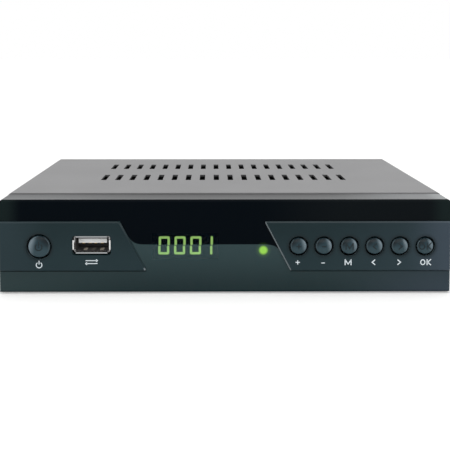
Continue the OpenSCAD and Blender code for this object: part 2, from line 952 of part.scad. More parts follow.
module data_port_shell() {
    shell_w = port_w + 2 * port_wall;
    shell_h = port_h + 2 * port_wall;
    color("#c9ccce")
        translate([port_mid_x, 0, port_mid_z]) {
            along_y(shell_y, board_y)
                difference() {
                    round_rect(shell_w, shell_h, shell_corner_r);
                    square([port_w, port_h], center = true);
                }
            for (s = [0, 180])
                rotate([0, s, 0]) {
                    along_x(port_w - lip_short)
                        port_lip(port_h / 2, flare_h);
                    rotate([0, 90, 0])
                        along_x(port_h - 2 * lip_short)
                            port_lip(port_w / 2, flare_w);
                }
        }
}

module data_port_tongue() {
    seat = 0.1;
    color("#e4e6e6")
        translate([port_mid_x, 0, port_mid_z]) {
            box(0, tongue_y, tongue_low, [tongue_w, board_y - tongue_y, tongue_t]);
            box(0, board_y - port_base_t, seat - port_h / 2,
                [port_w - 2 * seat, port_base_t, port_h - 2 * seat]);
        }
}

module data_port_contacts() {
    contact_set = 0.6;
    contact_y = tongue_y + contact_set;
    color("#c79a3a")
        translate([port_mid_x, 0, port_mid_z])
            for (x = contact_xs)
                box(x, contact_y, tongue_low - contact_t,
                    [contact_w, board_y - port_base_t - contact_y, contact_t]);
}

// Main board and what it carries

module main_board() {
    color("#2c6a45")
        difference() {
            box(0, main_y, main_z, [main_w, main_end - main_y, board_t]);
            for (sx = [-1, 1], y = board_screw_ys)
                translate([sx * board_screw_x, y, main_z - over])
                    cylinder(r = screw_r + pass_slack, h = board_t + 2 * over);
        }
}

module board_standoffs() {
    standoff_r = 3;
    color("#c2a15a")
        for (sx = [-1, 1], y = board_screw_ys)
            translate([sx * board_screw_x, y, floor_z])
                difference() {
                    cylinder(r = standoff_r, h = standoff_h, $fn = 6);
                    translate([0, 0, -over])
                        cylinder(r = screw_r + hole_slack, h = standoff_h + 2 * over);
                }
}

module board_screws() {
    color("#b8bcc0")
        for (sx = [-1, 1], y = board_screw_ys)
            translate([sx * board_screw_x, y, main_top])
                screw(board_t + standoff_h / 2);
}

module tuner_can() {
    color("#c3c6c9")
        difference() {
            box(tuner_x, main_end - tuner_d, main_top, [tuner_w, tuner_d, tuner_h]);
            box(tuner_x, main_end - tuner_d + can_t, main_top - over,
                [tuner_w - 2 * can_t, tuner_d - 2 * can_t, tuner_h - can_t + over]);
        }
}

module rf_in_socket() {
    color("#b9bdc0")
        translate([rf_in_x, 0, rf_z])
            difference() {
                union() {
                    rod_y(rf_flange_r, main_end, rf_flange_y);
                    rod_y(rf_in_r + rf_wall, main_end, rf_end);
                }
                rod_y(rf_in_r, rf_floor_y, rf_end + over);
            }
}

module rf_out_socket() {
    color("#b9bdc0")
        translate([rf_out_x, 0, rf_z])
            difference() {
                union() {
                    rod_y(rf_flange_r, main_end, rf_flange_y);
                    rod_y(rf_out_r, main_end, rf_end);
                }
                rod_y(rf_out_r - rf_wall, rf_floor_y, rf_end + over);
            }
}

module rf_insulators() {
    plug_room = 1.7;
    post_r = rf_in_r - plug_room;
    mouth = 1.5;
    disc_t = 2;
    color("#e9e9e4") {
        translate([rf_in_x, 0, rf_z])
            difference() {
                rod_y(post_r, rf_floor_y, rf_end - mouth);
                rod_y(rf_pin_r + hole_slack, rf_floor_y + disc_t, rf_end);
            }
        translate([rf_out_x, 0, rf_z])
            difference() {
                rod_y(rf_out_r - rf_wall - hole_slack, rf_floor_y, rf_floor_y + disc_t);
                rod_y(rf_pin_r + hole_slack, rf_floor_y - over, rf_floor_y + disc_t + over);
            }
    }
}

module rf_out_pin() {
    tip = 0.5;
    color("#d9b45b")
        translate([rf_out_x, 0, rf_z])
            rod_y(rf_pin_r, rf_floor_y, rf_end - tip);
}

module av_socket() {
    color("#1b1b1d")
        translate([av_x, 0, av_z])
            difference() {
                box(0, main_end - av_d, -av_h / 2, [av_w, av_end - main_end + av_d, av_h]);
                along_y(av_end - av_groove_d, av_end + over)
                    difference() {
                        skirt(av_skirt_w, av_skirt_h);
                        skirt(av_skirt_w - 2 * av_groove, av_skirt_h - 2 * av_groove);
                    }
                for (p = AV_SLOTS)
                    translate([p[0], 0, p[1]])
                        along_y(av_end - av_groove_d, av_end + over)
                            square(av_slot, center = true);
            }
}

module av_contacts() {
    contact_l = 5;
    contact_inset = 0.25;
    color("#c9a548")
        translate([av_x, 0, av_z])
            for (p = AV_SLOTS)
                translate([p[0], 0, p[1]])
                    along_y(av_end - av_groove_d, av_end - av_groove_d + contact_l)
                        square([av_slot[0] - 2 * contact_inset, av_slot[1] - 2 * contact_inset],
                            center = true);
}

module video_socket_shell() {
    color("#c9ccce")
        translate([video_x, 0, video_z])
            along_y(main_end - video_d, video_end)
                difference() {
                    video_outline(0);
                    video_outline(video_wall);
                }
}

module video_socket_tongue() {
    seat = 0.1;
    base_t = 3;
    blade_t = 1.2;
    blade_room = 2;
    blade_w = video_w - 2 * blade_room;
    mouth = 1.2;
    color("#17181a")
        translate([video_x, 0, video_z]) {
            along_y(main_end - video_d, main_end - video_d + base_t)
                video_outline(video_wall + seat);
            box(0, main_end - video_d, -blade_t / 2,
                [blade_w, video_end - mouth - main_end + video_d, blade_t]);
        }
}

module audio_socket() {
    body_l = 10;
    post_r = audio_r - audio_wall - hole_slack;
    mouth = 1;
    color("#c46a1f")
        difference() {
            union() {
                box(audio_x, socket_back - body_l, main_top, [audio_body_w, body_l, audio_body_h]);
                translate([audio_x, 0, audio_z])
                    rod_y(post_r, socket_back - body_l / 2, audio_end - mouth);
            }
            translate([audio_x, 0, audio_z])
                rod_y(audio_contact_r, socket_back - body_l / 2, audio_end);
        }
}

module audio_barrel() {
    color("#cfd2d4")
        translate([audio_x, 0, audio_z])
            difference() {
                union() {
                    rod_y(audio_flange_r, socket_back, audio_flange_y);
                    rod_y(audio_r, socket_back, audio_end);
                }
                rod_y(audio_r - audio_wall, socket_back - over, audio_end + over);
            }
}

module dc_jack() {
    color("#18181a")
        difference() {
            union() {
                box(dc_x, socket_back - dc_d, main_top, [dc_w, dc_d, dc_h]);
                translate([dc_x, 0, dc_z])
                    rod_y(dc_collar_r, socket_back - dc_d / 2, wall_out);
            }
            translate([dc_x, 0, dc_z])
                rod_y(dc_bore_r, wall_out - dc_bore_d, wall_out + over);
        }
}

module dc_jack_pin() {
    mouth = 1;
    color("#c9ccce")
        translate([dc_x, 0, dc_z])
            rod_y(dc_pin_r, wall_out - dc_bore_d, wall_out - mouth);
}

module processor() {
    color("#1d1e20")
        box(proc_x, proc_y - proc_w / 2, main_top, [proc_w, proc_w, proc_t]);
}

module heat_sink() {
    fin_step = (sink_w - fin_t) / (fin_count - 1);
    color("#9a9ea2") {
        box(proc_x, proc_y - sink_w / 2, main_top + proc_t, [sink_w, sink_w, sink_base]);
        for (i = [0:fin_count - 1])
            box(proc_x + (i - (fin_count - 1) / 2) * fin_step, proc_y - sink_w / 2, main_top + proc_t,
                [fin_t, sink_w, sink_h]);
    }
}

module memory_chips() {
    color("#1d1e20")
        for (s = [-1, 1])
            box(memory_x, proc_y + s * memory_d - memory_d / 2, main_top, [memory_w, memory_d, memory_t]);
}

module capacitors() {
    shoulder = 0.6;
    sleeve_h = cap_h - shoulder;
    top_r = cap_r - shoulder;
    color("#20304a")
        for (i = [0:cap_count - 1])
            translate([cap_x + i * cap_pitch, cap_y, main_top]) {
                cylinder(r = cap_r, h = sleeve_h);
                cylinder(r = top_r, h = cap_h);
            }
}

module inductors() {
    base_h = coil_h / 3;
    color("#3b3b3d")
        for (i = [0:coil_count - 1])
            translate([cap_x + i * cap_pitch, coil_y, main_top]) {
                translate([-coil_w / 2, -coil_w / 2, 0])
                    cube([coil_w, coil_w, base_h]);
                cylinder(r = coil_w / 2 - fit, h = coil_h);
            }
}

module crystal() {
    color("#b7babd")
        translate([crystal_x, proc_y, main_top])
            linear_extrude(crystal_h)
                round_rect(crystal_w, crystal_d, crystal_d / 2 - least_r);
}

module ribbon_headers() {
    color("#ece7d8") {
        box(ribbon_x, board_back, ribbon_z - header_d / 2, [header_w, header_h, header_d]);
        box(ribbon_x, header_y - header_d / 2, main_top, [header_w, header_d, header_h]);
    }
}

module ribbon_cable() {
    bend_out = ribbon_bend + ribbon_t / 2;
    bend_y = header_y - ribbon_bend;
    bend_z = ribbon_z - ribbon_bend;
    color("#b9bcc0")
        translate([ribbon_x, 0, 0])
            along_x(ribbon_w) {
                translate([ribbon_y, ribbon_z - ribbon_t / 2])
                    square([bend_y - ribbon_y, ribbon_t]);
                translate([bend_y, bend_z])
                    intersection() {
                        difference() {
                            circle(bend_out);
                            circle(bend_out - ribbon_t);
                        }
                        square(2 * bend_out);
                    }
                translate([header_y - ribbon_t / 2, main_top + header_h])
                    square([ribbon_t, bend_z - main_top - header_h]);
            }
}

base_tray();
top_cover();
rubber_feet();
cover_screws();
fascia_screws();
front_fascia();
face_lens();
left_control_plate();
right_control_plate();
for (b = BUTTONS) {
    button_cap(b);
    switch_plunger(b);
}
front_board();
front_board_screws();
switch_bodies();
switch_covers();
display_module();
display_segments();
status_led();
led_spacer();
ir_receiver();
data_port_shell();
data_port_tongue();
data_port_contacts();
main_board();
board_standoffs();
board_screws();
tuner_can();
rf_in_socket();
rf_out_socket();
rf_insulators();
rf_out_pin();
av_socket();
av_contacts();
video_socket_shell();
video_socket_tongue();
audio_socket();
audio_barrel();
dc_jack();
dc_jack_pin();
processor();
heat_sink();
memory_chips();
capacitors();
inductors();
crystal();
ribbon_headers();
ribbon_cable();
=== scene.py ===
"""Looks of a compact set-top receiver: painted steel case, smoked front with satin control plates,
push buttons, lit digits, and a row of plated sockets at the back. Metres; the front faces -Y."""
import json
import math

import bmesh
import bpy
import numpy as np
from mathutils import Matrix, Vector


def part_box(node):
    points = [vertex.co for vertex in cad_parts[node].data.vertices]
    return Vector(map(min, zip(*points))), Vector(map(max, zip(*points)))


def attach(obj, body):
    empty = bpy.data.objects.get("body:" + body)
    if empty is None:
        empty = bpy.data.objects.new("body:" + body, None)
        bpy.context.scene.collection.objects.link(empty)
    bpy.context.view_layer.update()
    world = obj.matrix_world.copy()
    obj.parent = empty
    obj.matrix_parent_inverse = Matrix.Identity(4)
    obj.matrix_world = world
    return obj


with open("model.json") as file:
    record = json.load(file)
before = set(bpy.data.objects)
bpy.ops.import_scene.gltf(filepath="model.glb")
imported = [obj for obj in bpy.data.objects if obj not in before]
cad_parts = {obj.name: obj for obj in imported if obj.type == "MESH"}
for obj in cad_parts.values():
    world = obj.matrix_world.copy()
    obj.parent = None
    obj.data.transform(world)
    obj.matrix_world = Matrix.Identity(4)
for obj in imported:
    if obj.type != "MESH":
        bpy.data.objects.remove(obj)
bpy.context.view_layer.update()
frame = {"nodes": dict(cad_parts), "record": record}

MM = 0.001
ALONG_Y = (1, 0.08, 1)
ROOT = "receiver"
KEYS = ("plus", "minus", "menu", "left", "right", "ok")
CAPS = ("power",) + KEYS


def corners_mm(node):
    """Lowest and highest corner of a node, in millimetres."""
    low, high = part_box(node)
    return np.array(low) / MM, np.array(high) / MM


COVER_LOW, COVER_HIGH = corners_mm("top_cover")
LENS_LOW, LENS_HIGH = corners_mm("face_lens")
LEFT_LOW, LEFT_HIGH = corners_mm("left_control_plate")
RIGHT_LOW, RIGHT_HIGH = corners_mm("right_control_plate")
DIGITS_LOW, DIGITS_HIGH = corners_mm("display_segments")
LAMP_LOW, LAMP_HIGH = corners_mm("status_led")
PORT_LOW, PORT_HIGH = corners_mm("data_port_shell")
TRAY_LOW, TRAY_HIGH = corners_mm("base_tray")
COVER_MIDDLE = (COVER_LOW[1] + COVER_HIGH[1]) / 2
COVER_REACH = (COVER_HIGH[1] - COVER_LOW[1]) / 2

# The front, in millimetres: the plates' slanted ends, placed at their upper edge, and the round pieces
PLATE_FACE = LEFT_LOW[1]
PLATE_LEAN = 9.8
LEFT_PLATE_END = -39.2
RIGHT_PLATE_END = 14.6
POWER_R = 4.1
KEY_R = 3.05
CAP_CROWN = 0.85
LAMP_R = 1.5

# Printed marks, in millimetres: height of their middles over the lens's lower edge, shift from their
# caps, width of their strokes, and how far the print stands out of the surface and reaches into it
LABEL_RISE = 11.55
POWER_MARK_RISE = 10.65
PORT_MARK_RISE = 11.75
MINUS_DROP = 0.25
LABEL_SET = -0.35
LABEL_SETS = {"power": 0.0, "menu": -0.45, "ok": 0.25}
LABEL_STROKE = 0.37
FINE_STROKE = 0.31
FINE_LABELS = ("power", "plus", "minus")
CAP_STROKE = 0.4
CAP_MARK_SIZE = 1.2
PRINT_LIFT = 0.03
PRINT_SINK = 0.02

BLACK = (0.0, 0.0, 0.0, 1.0)
WHITE = (1.0, 1.0, 1.0, 1.0)


def linear(value):
    """A display value from 0 to 255 as linear light."""
    c = value / 255
    return c / 12.92 if c <= 0.04045 else ((c + 0.055) / 1.055) ** 2.4


def shade(red, green, blue):
    """A display colour as a linear colour."""
    return (linear(red), linear(green), linear(blue), 1.0)


def scaled(colour, factor):
    """A linear colour made lighter or darker."""
    return tuple(c * factor for c in colour[:3]) + (1.0,)


class Sock:
    """A shader value: arithmetic on it adds Math nodes to its tree."""

    def __init__(self, tree, socket):
        self.tree = tree
        self.socket = socket

    def math(self, operation, *values):
        return self.tree.node("ShaderNodeMath", {"operation": operation}, dict(enumerate(values)))

    def __add__(self, other):
        return self.math("ADD", self, other)

    def __sub__(self, other):
        return self.math("SUBTRACT", self, other)

    def __mul__(self, other):
        return self.math("MULTIPLY", self, other)

    def __truediv__(self, other):
        return self.math("DIVIDE", self, other)

    def __radd__(self, other):
        return self.math("ADD", other, self)

    def __rsub__(self, other):
        return self.math("SUBTRACT", other, self)

    def __rmul__(self, other):
        return self.math("MULTIPLY", other, self)

    def __rtruediv__(self, other):
        return self.math("DIVIDE", other, self)

    def __abs__(self):
        return self.math("ABSOLUTE", self)

    def __pow__(self, other):
        return self.math("POWER", self, other)

    def most(self, other):
        return self.math("MAXIMUM", self, other)

    def least(self, other):
        return self.math("MINIMUM", self, other)

    def round_least(self, other, reach):
        """The lesser of two values, with the corner between them rounded over the reach."""
        return self.math("SMOOTH_MIN", self, other, reach)

    def wrap(self, low, high):
        """The value repeated within a span."""
        return self.math("WRAP", self, high, low)

    def ramp(self, low, high):
        """0 below low, 1 above high, an even S between."""
        settings = {"interpolation_type": "SMOOTHSTEP"}
        return self.tree.node("ShaderNodeMapRange", settings, {0: self, 1: low, 2: high, 3: 0.0, 4: 1.0})


def length(a, b):
    """Length of a line whose parts along two axes are given."""
    return (a ** 2.0 + b ** 2.0) ** 0.5


class Tree:
    """A tree of shader nodes."""

    def __init__(self, tree):
        self.nodes = tree.nodes
        self.links = tree.links

    def node(self, kind, settings=None, inputs=None, out=0):
        """A node of one kind: its settings first, then the values or links of its sockets."""
        made = self.nodes.new(kind)
        for name, value in (settings or {}).items():
            setattr(made, name, value)
        self.plug(made, inputs or {})
        return Sock(self, made.outputs[out])

    def plug(self, made, inputs):
        """Sets or links a node's sockets."""
        for key, value in inputs.items():
            if isinstance(value, Sock):
                self.links.new(value.socket, made.inputs[key])
            else:
                made.inputs[key].default_value = value

    def seen(self):
        """1 for what the camera sees, straight, in a reflection or through glass, and 0 for other light."""
        rays = self.node("ShaderNodeLightPath").socket.node.outputs
        names = ("Is Camera Ray", "Is Glossy Ray", "Is Transmission Ray")
        straight, mirrored, through = [Sock(self, rays[name]) for name in names]
        return straight.most(mirrored).most(through)


class Recipe(Tree):
    """A material being made: its nodes, and the place on the object in millimetres as x, y and z."""

    def __init__(self, name):
        self.material = bpy.data.materials.new(name)
        self.material.use_nodes = True
        super().__init__(self.material.node_tree)
        self.bsdf = self.nodes["Principled BSDF"]
        self.place = self.scale(self.node("ShaderNodeTexCoord", out="Object"), 1 / MM)
        self.x, self.y, self.z = self.split(self.place)

    def scale(self, vector, factor):
        """A vector or a colour times a number."""
        return self.node("ShaderNodeVectorMath", {"operation": "SCALE"}, {0: vector, "Scale": factor})

    def split(self, vector):
        """The three parts of a vector."""
        first = self.node("ShaderNodeSeparateXYZ", None, {0: vector})
        return [Sock(self, output) for output in first.socket.node.outputs]

    def noise(self, scale, detail=2.0, stretch=(1, 1, 1)):
        """Noise from 0 to 1, scale features to a millimetre, drawn out along an axis by stretch."""
        place = self.node("ShaderNodeMapping", None, {"Vector": self.place, "Scale": stretch})
        return self.node("ShaderNodeTexNoise", None, {"Vector": place, "Scale": scale, "Detail": detail})

    def cells(self, scale):
        """A random grey for each cell of a crackle, scale cells to a millimetre."""
        cell = self.node("ShaderNodeTexVoronoi", None, {"Vector": self.place, "Scale": scale}, "Color")
        return self.split(cell)[0]

    def mix(self, factor, a, b):
        """Colour a where the factor is 0, b where it is 1."""
        return self.node("ShaderNodeMix", {"data_type": "RGBA"}, {0: factor, 6: a, 7: b}, 2)

    def vary(self, colour, drift, spread):
        """A colour that drifts darker and lighter by a share of itself."""
        return self.mix(drift.ramp(0.3, 0.7), scaled(colour, 1 - spread), scaled(colour, 1 + spread))

    def normals(self):
        """The parts of the surface's own direction: to the right, to the back and up."""
        return self.split(self.node("ShaderNodeNewGeometry", out="Normal"))

    def relief(self, height, depth):
        """Bump of a height from 0 to 1, depth in millimetres."""
        bump = self.node("ShaderNodeBump", None, {"Height": height, "Distance": depth * MM})
        self.finish({"Normal": bump})

    def finish(self, inputs):
        """Sets or links the sockets of the surface; gives the material."""
        self.plug(self.bsdf, inputs)
        return self.material


def moulded(name, colour, rough=0.5, grain=3.0, depth=0.006, spread=0.08, gloss=0.3):
    """Moulded plastic: fine spark-eroded grain, and a slow drift of tone and of shine."""
    m = Recipe(name)
    fine = m.noise(grain, 3.0)
    slow = m.noise(0.12)
    m.relief(fine, depth)
    return m.finish({
        "Base Color": m.vary(colour, slow * 0.6 + fine * 0.4, spread),
        "Roughness": rough + (fine - 0.5) * 0.15 + (slow - 0.5) * 0.1,
        "Specular IOR Level": gloss,
    })


def plated(name, colour, rough=0.25, stretch=(1, 1, 1), scale=2.0, depth=0.002, spread=0.06):
    """Plated or rolled metal: fine lines drawn along one direction, and faint clouds."""
    m = Recipe(name)
    drawn = m.noise(scale, 2.0, stretch)
    cloud = m.noise(0.2)
    m.relief(drawn, depth)
    return m.finish({
        "Base Color": m.vary(colour, cloud * 0.7 + drawn * 0.3, spread),
        "Roughness": rough + (drawn - 0.5) * 0.2 + (cloud - 0.5) * 0.1,
        "Metallic": 1.0,
    })


def painted_steel():
    """Fine-texture paint on folded steel, worn a little brighter along the long folds, with painted shade on
    the walls of the vent slots, which lie within the margins of the top."""
    side_margin = 8
    end_margin = 5
    m = Recipe("painted_steel")
    grain = m.noise(2.4, 3.0)
    cloud = m.noise(0.025)
    fold_side = abs(m.x).ramp(COVER_HIGH[0] - 1.4, COVER_HIGH[0] - 0.2)
    fold = fold_side * m.z.ramp(COVER_HIGH[2] - 1.8, COVER_HIGH[2] - 0.3)
    upright = 1 - abs(m.normals()[2]).ramp(0.3, 0.7)
    side = COVER_HIGH[0] - side_margin
    end = COVER_REACH - end_margin
    # painted shade: the walls of the vent slots are coloured darker
    slot_wall = upright * (1 - abs(m.x).ramp(side - 1, side))
    slot_wall = slot_wall * (1 - abs(m.y - COVER_MIDDLE).ramp(end - 1, end))
    paint = m.vary(shade(127, 127, 128), cloud * 0.5 + grain * 0.5, 0.07)
    paint = m.mix(fold * 0.5, paint, shade(138, 139, 140))
    m.relief(grain, 0.02)
    return m.finish({
        "Base Color": m.mix(slot_wall, paint, shade(80, 80, 81)),
        "Roughness": 0.5 + (grain - 0.5) * 0.16 - fold * 0.1 + slot_wall * 0.3,
        "Specular IOR Level": 0.25,
    })


def zinc_steel():
    """Zinc-plated sheet: large faint crystals, drawn lines across and a dull shine, with painted shade,
    darker and duller, within the case."""
    m = Recipe("zinc_steel")
    crystal = m.cells(0.3)
    drawn = m.noise(1.5, 2.0, (0.15, 1, 1))
    # painted shade: faces within the case are coloured darker and duller
    shaded_inside = m.z.ramp(TRAY_LOW[2] + 0.3, TRAY_LOW[2] + 0.6)
    shaded_inside = shaded_inside * (1 - m.y.ramp(TRAY_HIGH[1] - 0.6, TRAY_HIGH[1] - 0.3))
    sheet = m.vary(shade(172, 176, 178), crystal * 0.4 + drawn * 0.6, 0.07)
    m.relief(drawn, 0.004)
    return m.finish({
        "Base Color": m.mix(shaded_inside, sheet, shade(44, 45, 46)),
        "Roughness": 0.38 + (crystal - 0.5) * 0.08 + shaded_inside * 0.3,
        "Metallic": 0.9 - shaded_inside * 0.6,
    })


def on_right(m):
    """0 on the left half of the front, 1 on the right half."""
    return m.x.ramp(-0.5, 0.5)


def slant_gap(m, end_x):
    """Distance to the right of a plate's slanted end, carried on as a straight line."""
    run = PLATE_LEAN / (LEFT_HIGH[2] - LEFT_LOW[2])
    return (m.x - end_x + (m.z - LEFT_HIGH[2]) * run) * (1 / math.hypot(1, run))


def smoked_lens():
    """Smoked front sheet: a black window over a paler lower part, with round inner corners where the two
    meet the plates, clear enough in front of the digits to show them lit, with a painted glow before the
    lamp, painted highlights on its side edges and a painted reflection at its far ends. Where it is clear,
    its colour is raised by what the clearness takes from it, and the reflection its coat loses there is
    painted into it."""
    window_rise = 18.1
    left_corner = 5.0
    right_corner = 6.0
    right_set = 0.4
    right_foot = 2
    edge = 0.14
    clear = 0.4
    clear_side = 1.5
    clear_over = 0.8
    clear_fade = 0.8
    back_widening = 3
    coat_mirror = 0.022
    m = Recipe("smoked_lens")
    over = m.z - (LENS_LOW[2] + window_rise)
    left_side = over.round_least(slant_gap(m, LEFT_PLATE_END), left_corner)
    right_side = -1 * (-1 * over).round_least(right_set - slant_gap(m, RIGHT_PLATE_END), right_corner)
    right_side = right_side.least(m.z - (RIGHT_LOW[2] + right_foot))
    window = (left_side + (right_side - left_side) * on_right(m)).most(m.z - LEFT_HIGH[2])
    black = window.ramp(-edge, edge)

    digit_mid = (DIGITS_LOW + DIGITS_HIGH) / 2
    digit_half = (DIGITS_HIGH - DIGITS_LOW) / 2
    beside = abs(m.x - digit_mid[0]) - digit_half[0] - clear_side
    beyond = beside.most(abs(m.z - digit_mid[2]) - digit_half[2] - clear_over)
    behind = m.y.ramp(LENS_LOW[1] + 0.5, LENS_LOW[1] + 0.9)
    see = 1 - (beyond - behind * back_widening).ramp(0.0, clear_fade)
    lamp_mid = (LAMP_LOW + LAMP_HIGH) / 2
    to_lamp = length(m.x - lamp_mid[0], m.z - lamp_mid[2])
    # painted glow: the lamp's light spot and a faint wider glow, emitted by the sheet itself
    spot = 1 - to_lamp.ramp(LAMP_R * 0.6, LAMP_R * 1.4)
    lamp_glow = (1 - to_lamp.ramp(LAMP_R, LAMP_R * 2.2)) * 0.07

    fade = m.z.ramp(LENS_LOW[2], LENS_LOW[2] + window_rise)
    slow = m.noise(0.05)
    smear = m.noise(0.4, 3.0, (1, 1, 0.3))
    lower = m.mix(fade, shade(2, 31, 35), shade(31, 54, 57))
    ends = m.mix(m.x.ramp(0, LENS_HIGH[0]), shade(28, 48, 50), shade(38, 52, 62))
    lower = m.mix(abs(m.x).ramp(25, LENS_HIGH[0]) * (1 - fade), lower, ends)
    ink = m.mix(m.x.ramp(10, 45), shade(1, 6, 12), shade(11, 16, 19))
    # painted reflection: the black grows paler towards the far ends
    ink = m.mix(abs(m.x).ramp(LENS_HIGH[0] - 9, LENS_HIGH[0] - 2) * 0.85, ink, shade(22, 32, 32))
    across, _, up = m.normals()
    # painted highlight on the rounded side edges
    tone = m.mix(abs(across).ramp(0.4, 0.9), m.mix(black, lower, ink), shade(72, 82, 86))
    shine = 0.95 - black * 0.84
    # painted reflection: the coat's reflection that the clearness takes away, added to the colour
    coat_reflection = m.mix(shine * see * clear * coat_mirror, BLACK, WHITE)
    tone = m.node("ShaderNodeVectorMath", {"operation": "ADD"}, {0: tone, 1: coat_reflection})
    m.relief(slow, 0.01)
    return m.finish({
        "Base Color": m.scale(tone, 1 / (1 - see * clear)),
        "Roughness": 0.25 + smear * 0.1,
        "Specular IOR Level": 0.0,
        "Coat Weight": shine * (0.9 + smear * 0.2) * up.ramp(-0.5, -0.05),
        "Coat IOR": 1.33,
        "Coat Roughness": 0.06,
        "Alpha": 1 - see * (clear + (1 - clear) * behind),
        "Emission Color": m.mix(spot.most(lamp_glow), BLACK, shade(146, 206, 52)),
        "Emission Strength": 1.0,
    })


def cap_distance(m):
    """Distance from a place on the front to the rim of the nearest cap: the power cap on the left, and on
    the right the row of keys, past whose ends it grows fast."""
    end_growth = 9
    first, last, power = [sum(corners_mm(cap + "_button")) / 2 for cap in (KEYS[0], KEYS[-1], "power")]
    pitch = (last[0] - first[0]) / (len(KEYS) - 1)
    row_middle = (first[0] + last[0]) / 2
    row_half = (last[0] - first[0] + pitch) / 2
    past_row = (abs(m.x - row_middle) - row_half).most(0.0) * end_growth
    beside = (m.x - first[0]).wrap(-pitch / 2, pitch / 2)
    to_key = length(beside, m.z - first[2]) - KEY_R + past_row
    to_power = length(m.x - power[0], m.z - power[2]) - POWER_R
    return to_power + (to_key - to_power) * on_right(m)


def control_plate():
    """Satin plates: fine grain, paler at the outer ends and lower down, with painted highlights on their
    edges, a ring of painted shade round each cap, and hole walls painted dark at their lit front and pale
    further back, where shadow falls."""
    m = Recipe("control_plate")
    fine = m.noise(4.0, 3.0)
    slow = m.noise(0.06)
    across, out, up = m.normals()
    lower = 1 - m.z.ramp(LEFT_LOW[2], LEFT_HIGH[2])
    left_outer = 1 - m.x.ramp(LEFT_LOW[0], LEFT_LOW[0] + 22)
    right_half = m.x.ramp(25, RIGHT_HIGH[0] + 12)
    right_outer = m.x.ramp(RIGHT_HIGH[0] - 18, RIGHT_HIGH[0])
    cloud = slow.ramp(0.3, 0.7)
    from_cap = cap_distance(m)
    # painted shade: a darker ring on the plate round each cap
    ring_shade = 1 - from_cap.ramp(0.5, 2.2)
    # painted light and shade on the hole walls: dark at the lit front, pale deeper in the shadowed gap
    hole_wall = (1 - (-1 * out).ramp(0.5, 0.9)) * (1 - from_cap.ramp(1, 1.5))
    deep = m.y.ramp(PLATE_FACE + 0.5, PLATE_FACE + 1.2)
    body = m.mix(lower * 0.5, shade(10, 31, 35), shade(32, 50, 55))
    body = m.mix(left_outer, body, shade(29, 45, 50))
    body = m.mix(right_half * 0.55, body, shade(44, 58, 66))
    body = m.mix(right_outer * 0.8, body, shade(55, 66, 77))
    body = m.mix(cloud * 0.08, body, shade(44, 60, 64))
    body = m.mix(ring_shade * 0.55, body, shade(8, 20, 23))
    body = m.mix(hole_wall, body, m.mix(deep, shade(40, 53, 58), shade(140, 156, 162)))
    right_plate = on_right(m)
    # painted highlights on the plates' edges: along the top, the slanted ends and the low tip
    top_cut = up.ramp(0.3, 0.6) * m.z.ramp(LEFT_HIGH[2] - 1, LEFT_HIGH[2] - 0.5)
    top_cut = top_cut * (0.03 + right_plate * 0.05)
    right_end = (-1 * across).ramp(0.3, 0.6) * (1 - slant_gap(m, RIGHT_PLATE_END).ramp(1, 2))
    right_cut = right_end * right_plate * 0.8
    left_end = across.ramp(0.3, 0.6) * slant_gap(m, LEFT_PLATE_END).ramp(-2, -1) * (1 - right_plate)
    left_cut = left_end * m.z.ramp(LEFT_LOW[2] + 8, LEFT_HIGH[2]) * 0.14
    low_tip = left_end * (1 - m.z.ramp(LEFT_LOW[2] + 0.8, LEFT_LOW[2] + 1.3))
    cut = top_cut.most(right_cut).most(left_cut).most(low_tip)
    m.relief(fine, 0.004)
    return m.finish({
        "Base Color": m.mix(cut, body, shade(118, 126, 130)),
        "Roughness": 0.38 + (fine - 0.5) * 0.2 + (slow - 0.5) * 0.1,
        "Specular IOR Level": 0.16,
    })


def crown_ball(radius):
    """Radius of the sphere that falls by the crown's height from a cap's middle to its rim."""
    return (radius ** 2 + CAP_CROWN ** 2) / (2 * CAP_CROWN)


def button_plastic():
    """Satin caps: fine grain, with a painted highlight on the flank towards the front's near end, painted
    shade on the other flank, painted light on the lower half and a painted glint along the far rim. The
    flanks go by the slope, as a share of a key's slope at its rim."""
    m = Recipe("button_plastic")
    fine = m.noise(5.0, 3.0)
    slow = m.noise(0.25)
    across, out, up = m.normals()
    on_keys = on_right(m)
    key_slope, power_slope = [radius / crown_ball(radius) for radius in (KEY_R, POWER_R)]
    steep = key_slope / power_slope * (1 - on_keys) + on_keys
    endward = across * (on_keys * 2 - 1) * steep
    upward = up * steep
    crown = (-1 * out).ramp(0.6, 0.85)
    # painted highlight on the near-end flank and painted shade on the other flank
    flank_highlight = (endward * 0.92 + upward * 0.22).ramp(0.12, 0.46) * crown
    flank_shade = (upward * 0.7 - endward * 0.5).ramp(0.08, 0.35) * crown
    body = m.vary(shade(31, 52, 60), slow * 0.7 + fine * 0.3, 0.12)
    # painted light: the lower half paler
    body = m.mix((-1 * upward).ramp(-0.1, 0.25) * crown, body, shade(46, 66, 73))
    body = m.mix(flank_shade * 0.85, body, shade(4, 14, 18))
    # painted glint along the far rim
    body = m.mix((-1 * endward).ramp(0.38, 0.5) * 0.6, body, shade(80, 94, 100))
    m.relief(fine, 0.004)
    return m.finish({
        "Base Color": m.mix(flank_highlight, body, shade(110, 125, 133)),
        "Roughness": 0.22 + (fine - 0.5) * 0.1 + (slow - 0.5) * 0.06,
        "Specular IOR Level": 0.18,
    })


def lit(name, colour, strength):
    """A lit piece: even light with a faint grain, over pale resin."""
    m = Recipe(name)
    grain = m.noise(1.5)
    return m.finish({
        "Base Color": m.vary(shade(120, 150, 90), grain, 0.1),
        "Roughness": 0.3 + grain * 0.1,
        "Emission Color": m.vary(colour, grain, 0.08),
        "Emission Strength": strength,
    })


